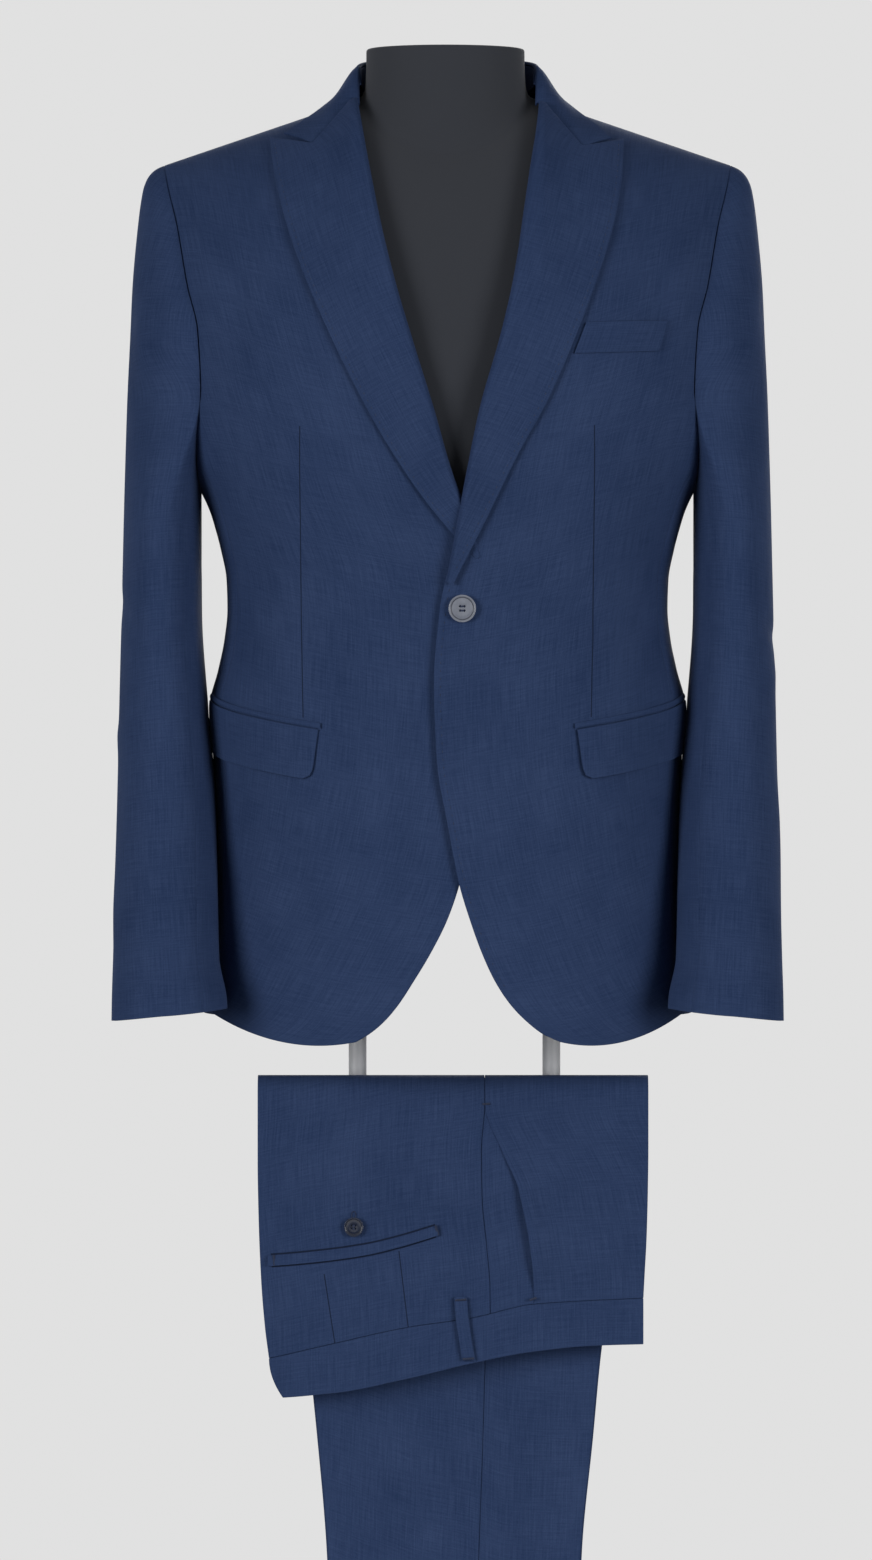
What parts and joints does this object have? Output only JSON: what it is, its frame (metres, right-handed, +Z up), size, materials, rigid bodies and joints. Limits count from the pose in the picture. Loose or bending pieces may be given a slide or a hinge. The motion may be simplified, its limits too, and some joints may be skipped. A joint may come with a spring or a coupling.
{
  "type": "business suit on a dress form stand",
  "caption": "Navy single-breasted suit: peak-lapel jacket buttoned on a headless dress form, trousers folded over a bar below, on a flat base with slim posts.",
  "frame": {"origin": "on the floor, at the middle of the underside of the base plate", "axes": "+Z up, +Y to the suit's back, +X to the wearer's left"},
  "size_m": [0.5146, 0.32, 1.65],
  "materials": {
    "suit_cloth": "matte navy worsted wool with a fine plain weave",
    "form_cloth": "matte charcoal jersey over a hard shell",
    "horn_button": "polished grey resin",
    "dark_button": "polished dark navy resin",
    "pale_paint": "satin pale grey powder coat"
  },
  "bodies": {
    "root": {"jacket_front_left": "suit_cloth", "jacket_front_right": "suit_cloth", "jacket_side_left": "suit_cloth", "jacket_side_right": "suit_cloth", "jacket_back_left": "suit_cloth", "jacket_back_right": "suit_cloth", "jacket_lapel_left": "suit_cloth", "jacket_lapel_right": "suit_cloth", "collar_leaf": "suit_cloth", "collar_stand": "suit_cloth", "topsleeve_left": "suit_cloth", "topsleeve_right": "suit_cloth", "undersleeve_left": "suit_cloth", "undersleeve_right": "suit_cloth", "breast_welt": "suit_cloth", "hip_flap_left": "suit_cloth", "hip_flap_right": "suit_cloth", "hip_jetting_left": "suit_cloth", "hip_jetting_right": "suit_cloth", "trouser_left_front": "suit_cloth", "trouser_left_back": "suit_cloth", "trouser_right_front": "suit_cloth", "trouser_right_back": "suit_cloth", "trouser_inner_layers": "suit_cloth", "waistband_left": "suit_cloth", "waistband_right": "suit_cloth", "side_pocket_facing": "suit_cloth", "back_pocket_welt": "suit_cloth", "belt_loop": "suit_cloth", "base_plate": "pale_paint", "post_left": "pale_paint", "post_right": "pale_paint", "post_foot_left": "pale_paint", "post_foot_right": "pale_paint", "bar_arm_left": "pale_paint", "bar_arm_right": "pale_paint", "trouser_bar": "pale_paint", "form_bottom_plate": "pale_paint", "form_torso": "form_cloth", "front_button": "horn_button", "back_pocket_button": "dark_button"}
  },
  "joints": []
}
